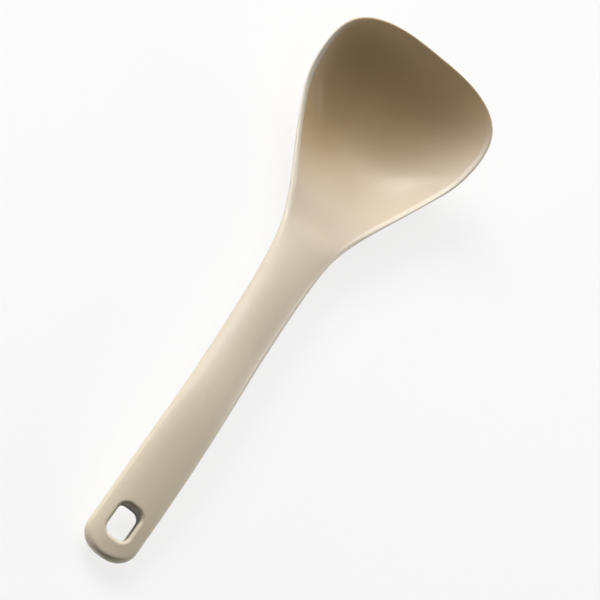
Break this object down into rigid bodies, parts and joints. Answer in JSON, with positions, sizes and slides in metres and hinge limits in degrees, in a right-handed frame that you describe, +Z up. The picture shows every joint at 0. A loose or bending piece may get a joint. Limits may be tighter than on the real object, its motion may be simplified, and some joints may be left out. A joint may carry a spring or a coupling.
{
  "type": "rice paddle",
  "caption": "Rice paddle with a deep fan-shaped bowl, a raised front edge and an arched handle with a hanging hole; soft skin over a stiff core.",
  "frame": {"origin": "centre of the paddle's length and width on the table it rests on", "axes": "+X from the handle's end to the bowl's front edge, +Z up from the table, +Y to the left of the handle seen from its end"},
  "size_m": [0.258, 0.0818, 0.0394],
  "materials": {
    "core_nylon": "matte",
    "skin_silicone": "satin"
  },
  "bodies": {
    "root": {"nylon_core": "core_nylon", "silicone_skin": "skin_silicone"}
  },
  "joints": []
}
